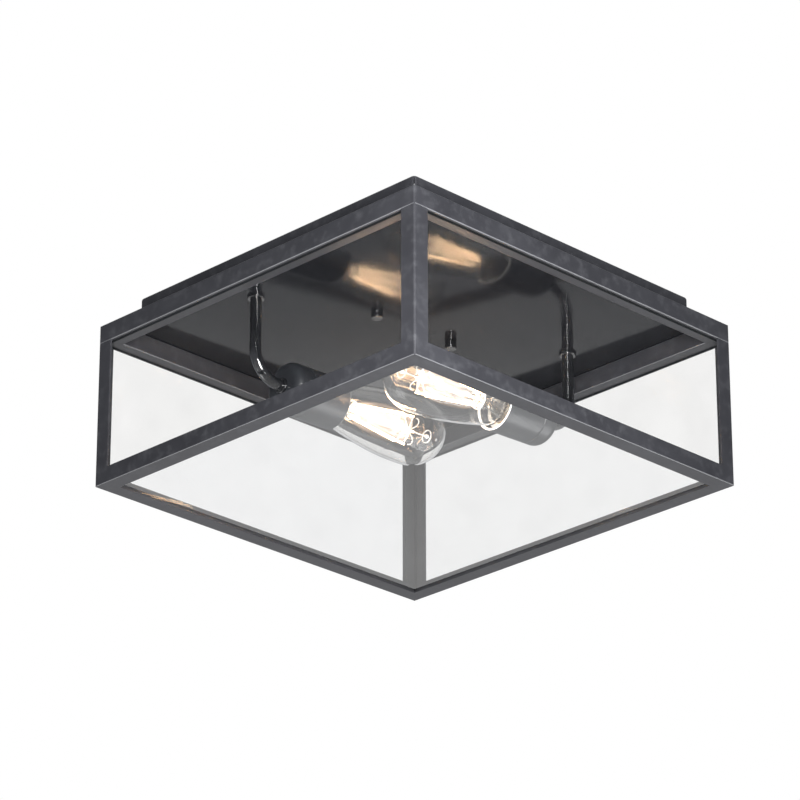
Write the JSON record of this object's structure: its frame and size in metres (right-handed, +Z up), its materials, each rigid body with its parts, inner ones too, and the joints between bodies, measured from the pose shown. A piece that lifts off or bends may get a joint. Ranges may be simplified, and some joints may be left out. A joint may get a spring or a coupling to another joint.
{
  "type": "porch ceiling lantern",
  "caption": "Square flush-mount outdoor ceiling lantern: black metal cage with clear glass panes, ceiling plate with canopy, and horizontal lamps in metal cups.",
  "frame": {"origin": "centre of the ceiling face, on top of the mounting bracket", "axes": "+Z up into the ceiling, lamp arms to -X and +X, front is -Y"},
  "size_m": [0.381, 0.381, 0.1748],
  "materials": {
    "plate_black": "gloss black enamel",
    "cage_black": "satin black powder coat",
    "arm_black": "gloss black",
    "cup_black": "satin black",
    "zinc_steel": "zinc plated",
    "ground_green": "green",
    "porcelain": "glazed white",
    "brass": "bright",
    "pane_glass": "clear float glass",
    "seal_black": "black silicone",
    "solder": "solder",
    "insulator_black": "black glass",
    "bulb_cap_metal": "nickel-toned thread",
    "bulb_glass": "clear thin glass",
    "stem_glass": "clear glass mount",
    "support_wire": "bright wire",
    "filament": "warm phosphor coat"
  },
  "bodies": {
    "ceiling_pan": {"arm_a": "arm_black", "arm_b": "arm_black", "arm_collar_a": "arm_black", "arm_collar_b": "arm_black", "arm_nuts": "zinc_steel", "bracket_studs": "zinc_steel", "cage_thumb_screws": "cage_black", "canopy_skirt": "cage_black", "ceiling_plate": "plate_black", "centre_tongue_a": "brass", "centre_tongue_b": "brass", "cup_nuts": "zinc_steel", "cup_ring_a": "arm_black", "cup_ring_b": "arm_black", "ground_screw": "ground_green", "lamp_cup_a": "cup_black", "lamp_cup_b": "cup_black", "lampholder_a": "porcelain", "lampholder_b": "porcelain", "mounting_bracket": "zinc_steel", "screw_shell_a": "brass", "screw_shell_b": "brass", "stud_nuts": "zinc_steel"},
    "cage": {"bottom_pane": "pane_glass", "bottom_rail_back": "cage_black", "bottom_rail_front": "cage_black", "bottom_rail_left": "cage_black", "bottom_rail_right": "cage_black", "pane_seals": "seal_black", "post_back_left": "cage_black", "post_back_right": "cage_black", "post_front_left": "cage_black", "post_front_right": "cage_black", "side_pane_back": "pane_glass", "side_pane_front": "pane_glass", "side_pane_left": "pane_glass", "side_pane_right": "pane_glass", "top_rail_back": "cage_black", "top_rail_front": "cage_black", "top_rail_left": "cage_black", "top_rail_right": "cage_black"},
    "bulb_a_travel": {"bulb_a_contact": "solder"},
    "bulb_a": {"bulb_a_base": "bulb_cap_metal", "bulb_a_envelope": "bulb_glass", "bulb_a_filaments": "filament", "bulb_a_insulator": "insulator_black", "bulb_a_stem": "stem_glass", "bulb_a_supports": "support_wire"},
    "cap_nut_a_travel": {"cap_nut_washer_a": "arm_black"},
    "cap_nut_a": {"cap_nut_a": "arm_black"},
    "bulb_b_travel": {"bulb_b_contact": "solder"},
    "bulb_b": {"bulb_b_base": "bulb_cap_metal", "bulb_b_envelope": "bulb_glass", "bulb_b_filaments": "filament", "bulb_b_insulator": "insulator_black", "bulb_b_stem": "stem_glass", "bulb_b_supports": "support_wire"},
    "cap_nut_b_travel": {"cap_nut_washer_b": "arm_black"},
    "cap_nut_b": {"cap_nut_b": "arm_black"}
  },
  "joints": [
    {"name": "cage_drop", "type": "slide", "parent": "ceiling_pan", "child": "cage", "axis": [0, 0, -1], "range_m": [0, 0.15]},
    {"name": "bulb_a_unscrew_travel", "type": "slide", "parent": "ceiling_pan", "child": "bulb_a_travel", "axis": [0.9982, -0.0593, 0], "range_m": [0, 0.0182]},
    {"name": "bulb_a_turn", "type": "hinge", "parent": "bulb_a_travel", "child": "bulb_a", "pos_m": [-0.136, 0.0525, -0.0995], "axis": [0.9982, -0.0593, 0], "range_deg": [0, 1800]},
    {"name": "bulb_b_unscrew_travel", "type": "slide", "parent": "ceiling_pan", "child": "bulb_b_travel", "axis": [-0.9982, 0.0593, 0], "range_m": [0, 0.0182]},
    {"name": "bulb_b_turn", "type": "hinge", "parent": "bulb_b_travel", "child": "bulb_b", "pos_m": [0.136, -0.0525, -0.0995], "axis": [-0.9982, 0.0593, 0], "range_deg": [0, 1800]},
    {"name": "cap_nut_a_unscrew_travel", "type": "slide", "parent": "ceiling_pan", "child": "cap_nut_a_travel", "axis": [0, 0, -1], "range_m": [0, 0.00397]},
    {"name": "cap_nut_a_turn", "type": "hinge", "parent": "cap_nut_a_travel", "child": "cap_nut_a", "pos_m": [-0.04445, 0, -0.03], "axis": [0, 0, -1], "range_deg": [0, 1802]},
    {"name": "cap_nut_b_unscrew_travel", "type": "slide", "parent": "ceiling_pan", "child": "cap_nut_b_travel", "axis": [0, 0, -1], "range_m": [0, 0.00397]},
    {"name": "cap_nut_b_turn", "type": "hinge", "parent": "cap_nut_b_travel", "child": "cap_nut_b", "pos_m": [0.04445, 0, -0.03], "axis": [0, 0, -1], "range_deg": [0, 1802]}
  ],
  "couplings": [
    {"joint": "bulb_a_unscrew_travel", "follows": "bulb_a_turn", "m_per_rad": 0.00057757},
    {"joint": "bulb_b_unscrew_travel", "follows": "bulb_b_turn", "m_per_rad": 0.00057757},
    {"joint": "cap_nut_a_turn", "follows": "cap_nut_a_unscrew_travel", "rad_per_m": 7913.3},
    {"joint": "cap_nut_b_turn", "follows": "cap_nut_b_unscrew_travel", "rad_per_m": 7913.3}
  ]
}
